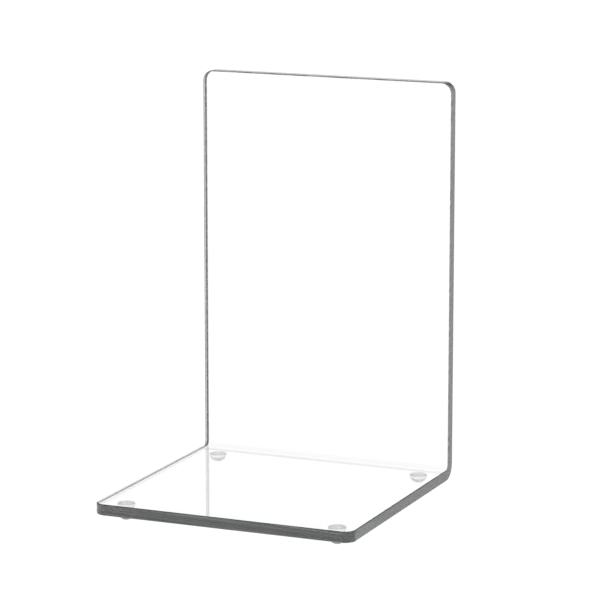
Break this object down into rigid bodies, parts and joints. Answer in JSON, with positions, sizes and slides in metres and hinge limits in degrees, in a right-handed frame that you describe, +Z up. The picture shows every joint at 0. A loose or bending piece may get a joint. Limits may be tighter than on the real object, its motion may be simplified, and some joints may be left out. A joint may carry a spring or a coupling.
{
  "type": "photo album stand",
  "caption": "Clear L-shaped display stand bent from one acrylic sheet, with rounded corners and small domed stick-on feet, for an album, a framed picture or books.",
  "frame": {"origin": "centre of the stand's bounding box, on the surface that the feet stand on", "axes": "+X to the right as seen from the front, +Y from the open front of the base to the upright panel at the back, +Z up"},
  "size_m": [0.122, 0.122, 0.1855],
  "materials": {
    "clear_acrylic": "clear polished acrylic sheet with cut, lightly polished edges",
    "clear_rubber": "clear soft polyurethane, faintly hazy",
    "clear_adhesive": "clear pressure-sensitive adhesive"
  },
  "bodies": {
    "root": {"bent_panel": "clear_acrylic", "front_left_foot": "clear_rubber", "front_right_foot": "clear_rubber", "rear_left_foot": "clear_rubber", "rear_right_foot": "clear_rubber", "front_left_adhesive": "clear_adhesive", "front_right_adhesive": "clear_adhesive", "rear_left_adhesive": "clear_adhesive", "rear_right_adhesive": "clear_adhesive"}
  },
  "joints": []
}
